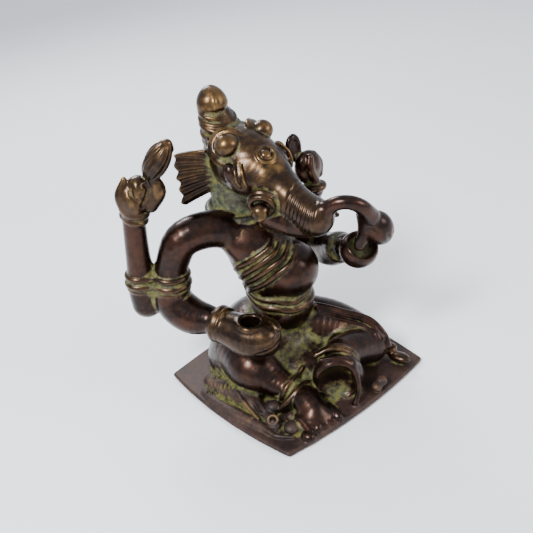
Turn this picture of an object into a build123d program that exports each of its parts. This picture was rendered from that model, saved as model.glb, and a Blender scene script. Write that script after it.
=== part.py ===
from build123d import *
import os

# A small solid bronze shrine figure: a four-armed, elephant-headed deity seated on a thin plate.
# The wax model was built up from a sheet, rolled limbs, pellets and threads, and each of those is
# one solid here.  Millimetres.  +Z is up, the figure faces -Y, and its right hand side is -X.
# The origin is the middle of the plate's flat underside.

# ---------------------------------------------------------------- driving dimensions
PLATE_HALF = 25.0            # half the corner-to-corner side of the square plate
PLATE_BOW = 2.2              # how far each side of the plate bows outwards
PLATE_THICK = 1.8
FLOOR_Z = PLATE_THICK        # everything above the plate starts here

EAR_THICK = 2.0
THREAD_R = 0.9               # radius of the rolled wax threads
LIMB_END_SWELL = 1.05        # rounded limb ends are this much larger than the limb
MIN_KEEP = 0.04              # share of the largest solid under which a cut-off crumb is dropped

CUT_SHIFTS = (0.0, 0.02, -0.05, 0.11, -0.17)
CUT_ERROR = 0.02             # share of its volume by which a cut may miss
WORST_CUT = 0.3              # a thread that grazes its neighbour may lose this share of itself
NO_VOLUME = 1e-6

SOCKET_R = 2.2               # blind socket in the top of the front right fist
SOCKET_DEPTH = 6.0

# Skeleton: the places where limbs bend, and the middles of the round masses.
SEAT_MIDDLE = (-2.0, 8.0, 9.0)
WAIST = (0.5, 2.0, 22.0)
RIBS = (-0.5, 3.0, 32.0)
CHEST = (-1.5, 7.0, 40.5)
BELLY = (1.8, -1.6, 33.0)
NECK_LOW = (-1.0, 12.0, 44.0)
NECK_HIGH = (-0.5, 13.5, 55.0)
OCCIPUT = (0.0, 13.0, 63.5)
CROWN_OF_HEAD = (0.0, 7.0, 62.0)
BROW = (0.4, 0.5, 59.5)

TRUNK_ARCH = [(2.5, -16.0, 53.2), (4.0, -19.2, 55.7), (6.0, -21.8, 56.0),
              (8.5, -23.2, 54.2), (11.5, -22.8, 50.5)]
SWEET = (14.6, -22.8, 45.4)

SASH_TOP = (1.7, 0.3, 43.3)
SASH_LOW = (0.3, 1.7, 36.7)
SASH_AXIS = (-0.40, -0.15, 0.85)
SASH_R = 9.8

RIGHT_SHOULDER = (-4.0, 7.5, 43.5)
RIGHT_SHOULDER_TOP = (-11.5, 11.5, 46.5)
RIGHT_BICEP = (-18.7, 14.8, 45.3)
RIGHT_ARMLET = (-22.0, 18.0, 37.0)
RIGHT_ELBOW = (-23.0, 17.5, 28.0)
RIGHT_REAR_ELBOW = (-28.0, 24.0, 29.0)
RIGHT_WRIST = (-19.0, 9.5, 23.5)
RIGHT_FIST = (-15.0, -3.0, 21.5)
RIGHT_REAR_WRIST = (-27.0, 21.3, 54.0)
RIGHT_REAR_PALM = (-24.5, 18.0, 60.5)
RIGHT_BUD = (-20.5, 13.8, 69.2)

LEFT_SHOULDER = (7.0, 8.5, 42.0)
LEFT_BICEP = (15.0, 9.5, 36.5)
LEFT_ELBOW = (19.0, 5.5, 29.5)
LEFT_WRIST = (15.5, -6.5, 34.5)
LEFT_BOWL = (13.0, -16.0, 38.0)
LEFT_REAR_WRIST = (18.0, 3.5, 48.0)
LEFT_REAR_PALM = (18.0, 4.5, 54.0)
LEFT_PETAL = (15.0, 6.5, 60.0)

RIGHT_KNEE = (-13.5, -1.0, 8.5)
RIGHT_ANKLE = (-10.0, -13.5, 4.5)
LEFT_KNEE = (17.0, -16.0, 8.5)
LEFT_ANKLE = (7.0, -12.0, 9.5)


# ---------------------------------------------------------------- shapes that repeat
def ball(middle, radius):
    """A rolled pellet."""
    return Pos(*middle) * Sphere(radius)


def egg(middle, radii, tilt=(0, 0, 0)):
    """An ellipsoid with three half sizes, turned by three angles."""
    return Pos(*middle) * Rot(*tilt) * scale(Sphere(1.0), by=radii)


def limb(points, radii):
    """A rolled stick: round sections lofted through the points, with rounded ends."""
    places = [Vector(*point) for point in points]
    last = len(places) - 1
    side = None
    sections = []
    for index, place in enumerate(places):
        ahead = places[min(index + 1, last)] - places[max(index - 1, 0)]
        ahead = ahead.normalized()
        if side is None:
            side = ahead.cross(Vector(0.31, 0.17, 0.93))
        side = (side - ahead * side.dot(ahead)).normalized()
        sections.append(Plane(origin=place, x_dir=side, z_dir=ahead) * Circle(radii[index]))
    stick = loft(sections)
    stick += ball(points[0], radii[0] * LIMB_END_SWELL)
    stick += ball(points[-1], radii[-1] * LIMB_END_SWELL)
    return stick


def ring(middle, axis, ring_radius, thread=THREAD_R):
    """A thread closed into a ring about an axis."""
    return Plane(origin=middle, z_dir=axis) * Torus(ring_radius, thread)


def between(start, end, share):
    """The point a share of the way from start to end."""
    return tuple(a + (b - a) * share for a, b in zip(start, end))


def direction(start, end):
    return tuple(b - a for a, b in zip(start, end))


def touching(one, other):
    """True when the boxes of two solids meet."""
    a = one.bounding_box()
    b = other.bounding_box()
    return all((
        a.min.X < b.max.X and b.min.X < a.max.X,
        a.min.Y < b.max.Y and b.min.Y < a.max.Y,
        a.min.Z < b.max.Z and b.min.Z < a.max.Z,
    ))


NODES = {}


def cut(shape, other):
    """Cut a solid by its neighbour, shifted a hair when the exact place leaves a broken cut."""
    best = None
    for shift in CUT_SHIFTS:
        moved = Pos(shift, -shift, shift) * shape
        common = moved & other
        shared = common.volume if common else 0.0
        if shared < NO_VOLUME:
            return moved
        left = moved - other
        error = abs(left.volume + shared - moved.volume) / moved.volume
        if left.is_valid and (best is None or error < best[0]):
            best = (error, left)
        if best and best[0] < CUT_ERROR:
            break
    if best is None or best[0] > WORST_CUT:
        raise ValueError("no clean cut")
    return best[1]


def add(name, shape, keep=1):
    """Press a piece on to those already there: it is cut to meet them face to face."""
    for other in NODES.values():
        if touching(shape, other):
            shape = cut(shape, other)
    solids = sorted(shape.solids(), key=lambda solid: -solid.volume)
    if keep == 1:
        solids = solids[:1]
    else:
        solids = [solid for solid in solids if solid.volume > MIN_KEEP * solids[0].volume]
    NODES[name] = solids[0] if len(solids) == 1 else Compound(children=solids)


# ---------------------------------------------------------------- the plate and the seat
def base_plate():
    """A square sheet with pointed corners and sides that bow outwards."""
    corners = [(-1, -1), (1, -1), (1, 1), (-1, 1)]
    sides = []
    for index, (x, y) in enumerate(corners):
        next_x, next_y = corners[(index + 1) % 4]
        start = (x * PLATE_HALF, y * PLATE_HALF)
        end = (next_x * PLATE_HALF, next_y * PLATE_HALF)
        out = PLATE_HALF + PLATE_BOW
        middle = ((x + next_x) / 2 * out, (y + next_y) / 2 * out)
        sides.append(ThreePointArc(start, middle, end))
    plate = extrude(make_face(Wire(sides)), PLATE_THICK)
    return chamfer(plate.faces().sort_by(Axis.Z)[-1].edges(), 0.5)


def seat_mass():
    """Hips and gathered cloth, flat where they meet the plate."""
    mass = egg(SEAT_MIDDLE, (16.0, 14.5, 13.0))
    mass += egg((0.0, -4.0, 5.0), (11.0, 10.5, 8.5))
    return mass & Pos(0, 0, FLOOR_Z + 25) * Box(80, 80, 50)


# ---------------------------------------------------------------- trunk of the body
def build_body():
    add("base_plate", base_plate())
    add("seat_mass", seat_mass())
    add("torso", limb([WAIST, RIBS, CHEST], [8.0, 8.6, 9.2]))
    add("belly", ball(BELLY, 8.0))
    add("neck", limb([NECK_LOW, NECK_HIGH], [7.6, 6.8]))


# ---------------------------------------------------------------- head, trunk and crown
def build_head():
    add("head", limb([OCCIPUT, CROWN_OF_HEAD, BROW], [7.6, 8.6, 6.4]))
    add("trunk_root", limb([BROW, (1.2, -8.0, 54.5), (2.0, -14.0, 51.5)], [6.1, 4.4, 4.8]))
    add("trunk_tip", limb(TRUNK_ARCH, [2.2, 1.9, 1.9, 2.1, 2.3]))
    add("sweet_ball", egg(SWEET, (3.2, 3.2, 5.0), (0, -25, 0)))
    add("lower_jaw", limb([(-1.0, -2.0, 50.0), (0.5, -12.0, 46.5)], [4.5, 1.6]))
    add("forehead_mark", egg((0.0, -1.0, 65.6), (1.6, 1.2, 1.8), (-35, 0, 0)))
    for side, name in ((-1, "right"), (1, "left")):
        add(f"{name}_eye", egg((side * 7.4, 4.0, 62.5), (1.7, 2.3, 1.8)))
        add(f"{name}_ear", ear(side))
    add("right_tusk", ball((-7.0, -4.7, 54.6), 2.3))
    add("tusk_collar", ring((-5.6, -3.9, 55.0), (-3.5, -2.0, -1.0), 2.7, 0.8))
    add("left_tusk", limb([(5.0, -8.0, 52.0), (9.0, -13.5, 49.0)], [2.2, 0.9]))
    build_crown()


def ear(side):
    """A thin fan plate that leans back, with its long edge outwards."""
    outwards = Vector(side * 0.65, 0.76, 0.0)
    plane = Plane(origin=(side * 5.5, 11.5, 60.5), x_dir=outwards, z_dir=outwards.cross(Vector(0, 0, 1)))
    fan = make_face(Polyline((0, 5.0), (0, -4.5), (8.0, -8.5), (11.5, -6.5), (11.0, 6.5), close=True))
    return plane * extrude(fan, EAR_THICK / 2, both=True)


def build_crown():
    """A rolled band, two bosses, a stack of rolled rings and a bud on top."""
    crown_axis = (0.0, 0.12, 1.0)
    band = ring((0.0, 9.5, 66.8), (0.0, -0.35, 1.0), 7.4, 1.3)
    add("crown_band", band)
    for side, name, radius in ((-1, "right", 3.2), (1, "left", 2.8)):
        add(f"{name}_crown_boss", ball((side * 5.6, 6.8, 68.3), radius))
    stack = limb([(0.0, 13.0, 64.0), (0.0, 14.5, 69.0), (0.0, 15.6, 73.5)], [6.5, 5.6, 4.2])
    stack += ring((0.0, 14.2, 68.2), crown_axis, 5.6, 1.1)
    stack += ring((0.0, 14.8, 70.3), crown_axis, 5.0, 1.1)
    stack += ring((0.0, 15.3, 72.3), crown_axis, 4.3, 1.0)
    add("crown_rings", stack)
    add("crown_finial", limb([(0.0, 15.8, 75.6), (0.0, 16.0, 78.0)], [4.1, 2.3]))


# ---------------------------------------------------------------- the right arms
def build_right_arms():
    arch = [RIGHT_SHOULDER, RIGHT_SHOULDER_TOP, RIGHT_BICEP, RIGHT_ARMLET]
    add("right_upper_arm", limb(arch, [5.0, 5.0, 4.8, 4.4]))
    fore_arm = [between(RIGHT_ARMLET, RIGHT_ELBOW, 0.4), RIGHT_ELBOW, RIGHT_WRIST]
    add("right_fore_arm", limb(fore_arm, [4.5, 4.8, 3.6]))
    rear_arm = [RIGHT_REAR_ELBOW, (-27.6, 22.3, 44.0), RIGHT_REAR_WRIST]
    add("right_rear_arm", limb(rear_arm, [3.9, 2.8, 2.9]))
    fist = egg(RIGHT_FIST, (5.8, 7.6, 5.2), (0, 0, 15))
    socket = Pos(RIGHT_FIST[0], RIGHT_FIST[1], RIGHT_FIST[2] + 5.0) * Cylinder(SOCKET_R, 2 * SOCKET_DEPTH)
    add("right_fist", fist - socket)
    bangle_axis = direction(RIGHT_WRIST, RIGHT_FIST)
    add("right_wrist_bangle", ring((-18.0, 5.4, 23.2), bangle_axis, 3.9, 1.3))
    add("right_rear_hand", egg(RIGHT_REAR_PALM, (4.8, 3.2, 6.0), (10, 20, 0)))
    add("right_rear_bangles", ring((-26.6, 21.0, 55.0), (0.3, -0.3, 1.0), 3.1, 1.1))
    add("right_rear_bud", egg(RIGHT_BUD, (2.9, 2.4, 4.8), (25, 25, 0)))
    armlets = ring(between(RIGHT_ARMLET, RIGHT_ELBOW, 0.2), (-0.1, 0.1, -1.0), 4.7, 1.0)
    armlets += ring((-27.9, 23.2, 35.5), (0, 0.1, -1.0), 3.5, 1.0)
    add("right_armlets", armlets, keep=4)


# ---------------------------------------------------------------- the left arms
def build_left_arms():
    add("left_upper_arm", limb([LEFT_SHOULDER, LEFT_BICEP, LEFT_ELBOW], [5.2, 4.6, 4.4]))
    add("left_fore_arm", limb([LEFT_ELBOW, (18.0, -1.0, 31.5), LEFT_WRIST], [4.3, 4.3, 3.8]))
    cup = ball(LEFT_BOWL, 5.0)
    hollow = ball((LEFT_BOWL[0] - 0.5, LEFT_BOWL[1] - 2.0, LEFT_BOWL[2] + 2.5), 3.8)
    add("left_bowl_hand", cup - hollow)
    add("left_bowl_thumb", limb([(9.6, -22.0, 51.0), (11.0, -20.8, 46.0), (10.8, -19.2, 41.5)],
                                [1.4, 1.6, 1.6]))
    add("left_rear_arm", limb([(16.0, 10.0, 38.0), (19.0, 7.5, 43.0), LEFT_REAR_WRIST],
                              [3.4, 2.8, 2.6]))
    add("left_rear_hand", egg(LEFT_REAR_PALM, (3.6, 2.8, 4.8)))
    add("left_rear_bangle", ring((18.0, 3.6, 49.0), (0, 0.1, 1.0), 2.7, 1.1))
    add("left_rear_petal", egg(LEFT_PETAL, (2.4, 1.4, 3.6)))


# ---------------------------------------------------------------- legs and cloth
def build_legs():
    floor = Pos(0, 0, FLOOR_Z + 25) * Box(90, 90, 50)
    right_leg = limb([(-7.0, 9.0, 11.0), RIGHT_KNEE, RIGHT_ANKLE], [8.5, 6.2, 3.4])
    add("right_leg", right_leg & floor)
    right_foot = limb([RIGHT_ANKLE, (-10.0, -18.0, 4.0), (-11.0, -22.0, 3.4)], [3.4, 4.2, 3.6])
    add("right_foot", right_foot & floor)
    left_thigh = limb([(6.0, 4.0, 11.0), (12.0, -6.0, 9.5), LEFT_KNEE], [8.5, 6.8, 5.2])
    add("left_thigh", left_thigh & floor)
    add("left_calf", limb([(15.0, -17.5, 7.5), LEFT_ANKLE], [4.6, 3.4]))
    left_foot = limb([LEFT_ANKLE, (1.5, -18.0, 7.0), (-2.0, -22.5, 4.5)], [3.6, 5.4, 3.4])
    add("left_foot", left_foot & floor)


# ---------------------------------------------------------------- the mouse and small trim
def build_plate_trim():
    floor = Pos(0, 0, FLOOR_Z + 25) * Box(90, 90, 50)
    mouse = limb([(-20.5, 8.5, 1.5), (-19.0, 0.0, 1.5), (-20.5, -14.0, 1.5)], [3.5, 4.6, 2.6])
    add("mouse_body", mouse & floor)
    add("hem_tassel", egg((20.5, -20.0, 2.8), (2.0, 3.6, 1.6), (0, 0, 30)) & floor)
    pellets = ball((8.2, -25.5, 3.0), 1.5) + ball((5.6, -24.3, 3.0), 1.5)
    add("offering_pellets", pellets & floor, keep=2)


def build_threads():
    """Every rolled thread, laid on the limb that it goes round."""
    add("neck_collar", ring((-0.8, 12.2, 47.5), (0.0, 0.05, 1.0), 8.3, 1.4))
    for count, share in enumerate((0.0, 0.5, 1.0), start=1):
        middle = between(SASH_TOP, SASH_LOW, share)
        add(f"sash_thread_{count}", ring(middle, SASH_AXIS, SASH_R, 1.0), keep=4)
    add("waist_belt", ring((0.5, 2.0, 26.5), (0.0, -0.1, 1.0), 8.6, 1.2), keep=4)
    shin = direction(RIGHT_KNEE, RIGHT_ANKLE)
    add("right_anklet", ring(between(RIGHT_ANKLE, RIGHT_KNEE, 0.12), shin, 3.9))
    calf = direction((15.0, -17.5, 7.5), LEFT_ANKLE)
    add("left_anklet", ring(between(LEFT_ANKLE, (15.0, -17.5, 7.5), 0.2), calf, 3.9, 1.0))


build_body()
build_head()
build_right_arms()
build_left_arms()
build_legs()
build_plate_trim()
build_threads()

os.makedirs("parts", exist_ok=True)
for name, shape in NODES.items():
    export_step(shape, f"parts/{name}.step")
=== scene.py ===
import math

import bpy
import numpy as np
from mathutils import Matrix, Vector


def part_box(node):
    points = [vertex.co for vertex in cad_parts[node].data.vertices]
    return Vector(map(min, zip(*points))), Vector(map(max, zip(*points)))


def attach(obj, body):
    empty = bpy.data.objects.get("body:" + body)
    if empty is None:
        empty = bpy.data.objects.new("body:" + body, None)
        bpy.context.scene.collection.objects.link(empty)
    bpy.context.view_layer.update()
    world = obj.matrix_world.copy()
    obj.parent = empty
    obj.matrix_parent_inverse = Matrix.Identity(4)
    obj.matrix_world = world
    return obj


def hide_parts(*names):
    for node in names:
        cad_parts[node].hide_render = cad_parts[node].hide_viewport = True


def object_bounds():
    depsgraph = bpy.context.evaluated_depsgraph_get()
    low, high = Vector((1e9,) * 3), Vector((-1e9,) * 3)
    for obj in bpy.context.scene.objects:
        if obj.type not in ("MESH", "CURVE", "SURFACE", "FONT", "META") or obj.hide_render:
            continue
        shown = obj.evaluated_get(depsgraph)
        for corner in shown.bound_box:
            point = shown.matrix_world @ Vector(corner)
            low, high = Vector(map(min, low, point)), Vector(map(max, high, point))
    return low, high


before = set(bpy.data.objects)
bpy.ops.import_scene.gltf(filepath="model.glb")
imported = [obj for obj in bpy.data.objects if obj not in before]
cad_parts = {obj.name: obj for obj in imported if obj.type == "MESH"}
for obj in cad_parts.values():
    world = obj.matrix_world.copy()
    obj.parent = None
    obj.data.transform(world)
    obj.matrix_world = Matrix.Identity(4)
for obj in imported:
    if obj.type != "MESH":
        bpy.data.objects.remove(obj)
CAD_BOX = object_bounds()

# A small seated bronze figure, modelled as its maker built it in wax: limbs, pellets and rolled
# threads.  All pieces are carved out of one shared distance field, so that neighbours meet in a
# crease and share their seam.  Places and sizes are millimetres in the row's frame, and MM turns
# them into Blender's metres.
MM = 0.001
STEP = 0.34      # spacing of the field's samples
PAD = 2.4                                # how far round a piece its field is worked out
FAR = 3.0                                # distances are not kept beyond this
FLESH_BLEND = 0.55                       # fillet where body pieces run into each other
TRIM_BLEND = 0.16                        # fillet where threads and pellets are pressed on
TINY = 1e-6                              # keeps a division from being by nothing
GRID_MARGIN = 2.0                        # how far the grid goes past the CAD box
BOX_INSET = 0.01                         # how far inside the CAD box every vertex is kept
LIMB_LOW = 0.6                           # heights inside the plate where limbs and feet end flat
FOOT_LOW = 0.8

PLATE_LOW, PLATE_HIGH = (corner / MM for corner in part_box("base_plate"))
PLATE_HALF = 25.0
PLATE_BOW = PLATE_HIGH.x - PLATE_HALF
PLATE_TOP = PLATE_HIGH.z

# The skeleton repeats points of the CAD script, except that LEFT_BOWL is moved.
WAIST = (0.5, 2.0, 22.0)
RIBS = (-0.5, 3.0, 32.0)
CHEST = (-1.5, 7.0, 40.5)
NECK_LOW = (-1.0, 12.0, 44.0)
NECK_HIGH = (-0.5, 13.5, 55.0)
OCCIPUT = (0.0, 13.0, 63.5)
CROWN_OF_HEAD = (0.0, 7.0, 62.0)
BROW = (0.4, 0.5, 59.5)
TRUNK_BEND = (1.2, -8.0, 54.5)
TRUNK_END = (2.0, -14.0, 51.5)
TRUNK_ARCH = [(2.5, -16.0, 53.2), (4.0, -19.2, 55.7), (6.0, -21.8, 56.0), (8.5, -23.2, 54.2),
              (11.5, -22.8, 50.5)]

RIGHT_SHOULDER = (-4.0, 7.5, 43.5)
RIGHT_SHOULDER_TOP = (-11.5, 11.5, 46.5)
RIGHT_BICEP = (-18.7, 14.8, 45.3)
RIGHT_ARMLET = (-22.0, 18.0, 37.0)
RIGHT_ELBOW = (-23.0, 17.5, 28.0)
RIGHT_WRIST = (-19.0, 9.5, 23.5)
RIGHT_FIST = (-15.0, -3.0, 21.5)
RIGHT_REAR_WRIST = (-27.0, 21.3, 54.0)

LEFT_SHOULDER = (7.0, 8.5, 42.0)
LEFT_BICEP = (15.0, 9.5, 36.5)
LEFT_ELBOW = (19.0, 5.5, 29.5)
LEFT_WRIST = (15.5, -6.5, 34.5)
LEFT_BOWL = (12.4, -17.0, 38.8)
LEFT_REAR_WRIST = (18.0, 3.5, 48.0)

RIGHT_KNEE = (-13.5, -1.0, 8.5)
RIGHT_ANKLE = (-10.0, -13.5, 4.5)
LEFT_ANKLE = (7.0, -12.0, 9.5)


# --- camera
CAMERA_AZIMUTH = math.radians(-36.3)     # round from straight in front, towards the right hand
CAMERA_HEIGHT = math.radians(30.0)
CAMERA_ROLL = math.radians(-9.0)
CAMERA_DISTANCE = 217.2
CAMERA_TARGET = Vector((1.7, 8.2, 30.0))
CAMERA_LENS = 54.0
CAMERA_SENSOR = 36.0
CAMERA_CLIP = 0.01


def add_camera():
    flat = math.cos(CAMERA_HEIGHT)
    back = Vector((math.sin(CAMERA_AZIMUTH) * flat, -math.cos(CAMERA_AZIMUTH) * flat,
                   math.sin(CAMERA_HEIGHT)))
    level = Vector((math.cos(CAMERA_AZIMUTH), math.sin(CAMERA_AZIMUTH), 0.0))
    upright = back.cross(level)
    right = level * math.cos(CAMERA_ROLL) + upright * math.sin(CAMERA_ROLL)
    up = upright * math.cos(CAMERA_ROLL) - level * math.sin(CAMERA_ROLL)
    camera = show("camera", bpy.data.cameras.new("camera"))
    turn = Matrix((right, up, back)).transposed()
    place = Matrix.Translation((CAMERA_TARGET + back * CAMERA_DISTANCE) * MM)
    camera.matrix_world = place @ turn.to_4x4()
    camera.data.lens = CAMERA_LENS
    camera.data.sensor_width = CAMERA_SENSOR
    camera.data.clip_start = CAMERA_CLIP
    bpy.context.scene.camera = camera


# --- the field's grid
BOX_LOW, BOX_HIGH = (np.array(corner) / MM for corner in CAD_BOX)
GRID_LOW = BOX_LOW - GRID_MARGIN
GRID_HIGH = BOX_HIGH + GRID_MARGIN
GRID_SHAPE = tuple(int(n) for n in np.ceil((GRID_HIGH - GRID_LOW) / STEP) + 1)
AXES = [(GRID_LOW[i] + STEP * np.arange(GRID_SHAPE[i])).astype(np.float32) for i in range(3)]


def window(low, high):
    """The grid slices that hold a box, and the coordinates in them."""
    cuts = []
    for i in range(3):
        first = max(0, int(math.floor((low[i] - GRID_LOW[i]) / STEP)))
        last = min(GRID_SHAPE[i], int(math.ceil((high[i] - GRID_LOW[i]) / STEP)) + 1)
        cuts.append(slice(first, max(last, first + 1)))
    x = AXES[0][cuts[0]][:, None, None]
    y = AXES[1][cuts[1]][None, :, None]
    z = AXES[2][cuts[2]][None, None, :]
    return tuple(cuts), (x, y, z)


def soft_min(a, b, k):
    share = np.clip(0.5 + 0.5 * (b - a) / k, 0.0, 1.0)
    return b + (a - b) * share - k * share * (1.0 - share)


def soft_max(a, b, k):
    return -soft_min(-a, -b, k)


def show(name, data):
    """A new object, linked into the scene."""
    thing = bpy.data.objects.new(name, data)
    bpy.context.scene.collection.objects.link(thing)
    return thing


def unit(vector):
    vector = np.array(vector, float)
    return vector / np.linalg.norm(vector)


def spin(degrees):
    """A 3x3 turn from three angles about X, Y and Z."""
    x, y, z = (math.radians(angle) for angle in degrees)
    turn = Matrix.Rotation(z, 3, "Z") @ Matrix.Rotation(y, 3, "Y") @ Matrix.Rotation(x, 3, "X")
    return np.array(turn)


# --- strokes: each is (low corner, high corner, distance)
def smooth_path(points, radii, spans):
    """Points and radii along a smooth curve through the given ones."""
    points = np.array(points, float)
    radii = np.array(radii, float)
    rows = np.column_stack([points, radii])
    padded = np.vstack([2 * rows[0] - rows[1], rows, 2 * rows[-1] - rows[-2]])
    result = []
    for i in range(1, len(padded) - 2):
        p0, p1, p2, p3 = padded[i - 1:i + 3]
        for t in np.linspace(0, 1, spans, endpoint=False):
            result.append(0.5 * (2 * p1 + (p2 - p0) * t + (2 * p0 - 5 * p1 + 4 * p2 - p3) * t * t
                                 + (3 * p1 - p0 - 3 * p2 + p3) * t ** 3))
    result.append(rows[-1])
    return np.array(result)


def tube(points, radii, spans=5):
    """A rolled stick of changing thickness."""
    if np.isscalar(radii):
        radii = [radii] * len(points)
    rows = smooth_path(points, radii, spans).astype(np.float32)
    reach = rows[:, 3:].max()
    low = rows[:, :3].min(0) - reach
    high = rows[:, :3].max(0) + reach

    def distance(x, y, z):
        best = None
        for (ax, ay, az, ra), (bx, by, bz, rb) in zip(rows[:-1], rows[1:]):
            dx, dy, dz = bx - ax, by - ay, bz - az
            length = max(float(dx * dx + dy * dy + dz * dz), TINY)
            t = np.clip(((x - ax) * dx + (y - ay) * dy + (z - az) * dz) / length, 0, 1)
            d = np.sqrt((x - ax - t * dx) ** 2 + (y - ay - t * dy) ** 2 + (z - az - t * dz) ** 2)
            d -= ra + t * (rb - ra)
            best = d if best is None else np.minimum(best, d)
        return best

    return low, high, distance


def blob(middle, radii, degrees=(0, 0, 0)):
    """An ellipsoid."""
    if np.isscalar(radii):
        radii = (radii,) * 3
    turn = spin(degrees)
    half = np.sqrt(((turn * np.array(radii)) ** 2).sum(1))
    middle = np.array(middle, float)
    rx, ry, rz = (float(r) for r in radii)

    def distance(x, y, z):
        px, py, pz = x - middle[0], y - middle[1], z - middle[2]
        qx = turn[0, 0] * px + turn[1, 0] * py + turn[2, 0] * pz
        qy = turn[0, 1] * px + turn[1, 1] * py + turn[2, 1] * pz
        qz = turn[0, 2] * px + turn[1, 2] * py + turn[2, 2] * pz
        k0 = np.sqrt((qx / rx) ** 2 + (qy / ry) ** 2 + (qz / rz) ** 2)
        k1 = np.sqrt((qx / rx ** 2) ** 2 + (qy / ry ** 2) ** 2 + (qz / rz ** 2) ** 2)
        return k0 * (k0 - 1.0) / np.maximum(k1, TINY)

    return middle - half, middle + half, distance


def loop(middle, axis, ring, thread):
    """A rolled thread closed into a ring."""
    axis = unit(axis)
    middle = np.array(middle, float)
    reach = ring + thread

    def distance(x, y, z):
        px, py, pz = x - middle[0], y - middle[1], z - middle[2]
        w = px * axis[0] + py * axis[1] + pz * axis[2]
        out = np.sqrt(np.maximum(px * px + py * py + pz * pz - w * w, 0.0))
        return np.sqrt((out - ring) ** 2 + w * w) - thread

    return middle - reach, middle + reach, distance


def skin_thread(middle, axis, reach, thread, sink=0.2, sway=None):
    """A thread laid on the body where a plane cuts it; sway bends that plane."""
    axis = unit(axis)
    middle = np.array(middle, float)
    reach = np.array(reach, float) if not np.isscalar(reach) else np.full(3, float(reach))

    def distance(x, y, z, skin):
        w = (x - middle[0]) * axis[0] + (y - middle[1]) * axis[1] + (z - middle[2]) * axis[2]
        if sway is not None:
            w = w + sway(x, y, z)
        d = np.sqrt((skin + sink) ** 2 + w * w) - thread
        box = np.maximum(np.abs(x - middle[0]) - reach[0], np.abs(y - middle[1]) - reach[1])
        box = np.maximum(box, np.abs(z - middle[2]) - reach[2])
        return soft_max(d, box, thread)

    distance.on_skin = True
    return middle - reach, middle + reach, distance


def line_press(points, width, depth):
    """A groove, or a ridge where depth is negative, along a line on the surface."""
    low, high, away = tube(points, 0.01, 4)

    def distance(x, y, z):
        return depth * np.exp(-(away(x, y, z) / width) ** 2)

    return low - 2 * width, high + 2 * width, distance


def plane_press(middle, axis, reach, width, depth):
    """A groove where a plane meets the surface, within a ball."""
    axis = unit(axis)
    middle = np.array(middle, float)

    def distance(x, y, z):
        px, py, pz = x - middle[0], y - middle[1], z - middle[2]
        w = px * axis[0] + py * axis[1] + pz * axis[2]
        away = np.sqrt(px * px + py * py + pz * pz)
        return depth * np.exp(-(w / width) ** 2) * np.clip(3.0 - 3.0 * away / reach, 0, 1)

    return middle - reach, middle + reach, distance


def plane_side(point, normal):
    """Everything behind a plane."""
    normal = unit(normal)
    point = np.array(point, float)

    def distance(x, y, z):
        return ((x - point[0]) * normal[0] + (y - point[1]) * normal[1]
                + (z - point[2]) * normal[2])

    return None, None, distance


def above(height):
    """Everything higher than a level."""
    return plane_side((0, 0, height), (0, 0, -1))


# --- pieces
PIECES = []


class Piece:
    """One wax piece: strokes that add to it or cut it, in the order in which they are made."""

    def __init__(self, name, slot, trim=False, patina=0.0, worn=0.0, rough=0.0):
        self.name = name
        self.slot = slot
        self.trim = trim
        self.patina = patina
        self.worn = worn
        self.rough = rough
        self.strokes = []
        PIECES.append(self)

    def add(self, stroke, k=0.3):
        self.strokes.append(("add", stroke, k))
        return self

    def cut(self, stroke, k=0.2):
        self.strokes.append(("cut", stroke, k))
        return self

    def keep(self, stroke, k=0.3):
        self.strokes.append(("keep", stroke, k))
        return self

    def press(self, stroke):
        """Moves the surface in by what the stroke gives, or out where that is negative."""
        self.strokes.append(("press", stroke, 0.0))
        return self

    def field(self, skin):
        """The piece's distance field, in its own window of the grid."""
        lows = [stroke[0] for kind, stroke, k in self.strokes if kind == "add"]
        highs = [stroke[1] for kind, stroke, k in self.strokes if kind == "add"]
        low = np.min(lows, axis=0) - PAD
        high = np.max(highs, axis=0) + PAD
        cuts, (x, y, z) = window(low, high)
        start = [part.start for part in cuts]
        d = np.full((x.size, y.size, z.size), FAR, np.float32)
        for kind, (low_s, high_s, distance), k in self.strokes:
            if low_s is None:
                inner, places = (slice(None),) * 3, (x, y, z)
                around = cuts
            else:
                around, places = window(low_s - PAD, high_s + PAD)
                around = tuple(slice(max(a.start, c.start), min(a.stop, c.stop))
                               for a, c in zip(around, cuts))
                if any(part.stop <= part.start for part in around):
                    continue
                places = (AXES[0][around[0]][:, None, None], AXES[1][around[1]][None, :, None],
                          AXES[2][around[2]][None, None, :])
                inner = tuple(slice(part.start - first, part.stop - first)
                              for part, first in zip(around, start))
            if getattr(distance, "on_skin", False):
                value = distance(*places, skin[around])
            else:
                value = distance(*places)
            if kind == "add":
                d[inner] = soft_min(d[inner], value, k)
            elif kind == "cut":
                d[inner] = soft_max(d[inner], -value, k)
            elif kind == "press":
                d[inner] += value
            else:
                d[inner] = soft_max(d[inner], value, k)
        return cuts, d


def along(start, end, share):
    return tuple(a + (b - a) * share for a, b in zip(start, end))


def toward(start, end):
    return tuple(b - a for a, b in zip(start, end))


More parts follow.
